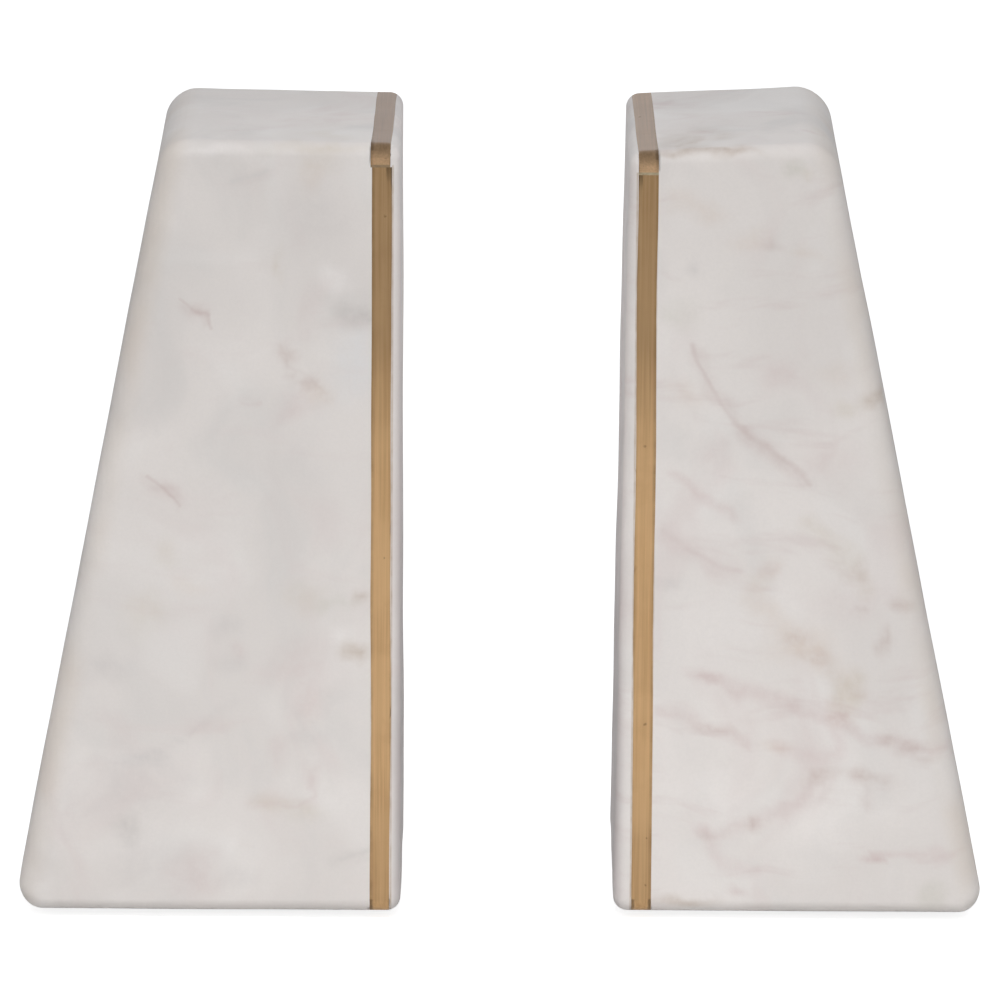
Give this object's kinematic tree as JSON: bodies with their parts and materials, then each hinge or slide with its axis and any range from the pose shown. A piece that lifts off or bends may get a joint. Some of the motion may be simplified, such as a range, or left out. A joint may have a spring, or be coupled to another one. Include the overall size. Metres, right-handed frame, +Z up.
{
  "type": "book ends",
  "caption": "Pair of book ends: tapered white marble wedges with an upright inner face, a sloping outer face and an inlaid brass line along the inner edge.",
  "frame": {"origin": "on the shelf surface, at the middle of the pair's footprint", "axes": "+X along the shelf, from the left book end to the right one; +Y from the front towards the back of the shelf; +Z up"},
  "size_m": [0.1848, 0.0618, 0.1523],
  "materials": {
    "marble": "honed, satin",
    "brass": "brushed, lightly aged",
    "resin": "cast resin, ground flush",
    "foot_rubber": "matt"
  },
  "bodies": {
    "left_bookend": {"left_block": "marble", "left_front_bar": "brass", "left_front_bed": "resin", "left_back_bar": "brass", "left_back_bed": "resin", "left_top_bar": "brass", "left_top_bed": "resin", "left_pad_front_inner": "foot_rubber", "left_pad_front_outer": "foot_rubber", "left_pad_back_inner": "foot_rubber", "left_pad_back_outer": "foot_rubber"},
    "right_bookend": {"right_block": "marble", "right_front_bar": "brass", "right_front_bed": "resin", "right_back_bar": "brass", "right_back_bed": "resin", "right_top_bar": "brass", "right_top_bed": "resin", "right_pad_front_inner": "foot_rubber", "right_pad_front_outer": "foot_rubber", "right_pad_back_inner": "foot_rubber", "right_pad_back_outer": "foot_rubber"}
  },
  "joints": [
    {"name": "shelf_slide", "type": "slide", "parent": "left_bookend", "child": "right_bookend", "axis": [1, 0, 0], "range_m": [-0.04, 0.3]}
  ]
}
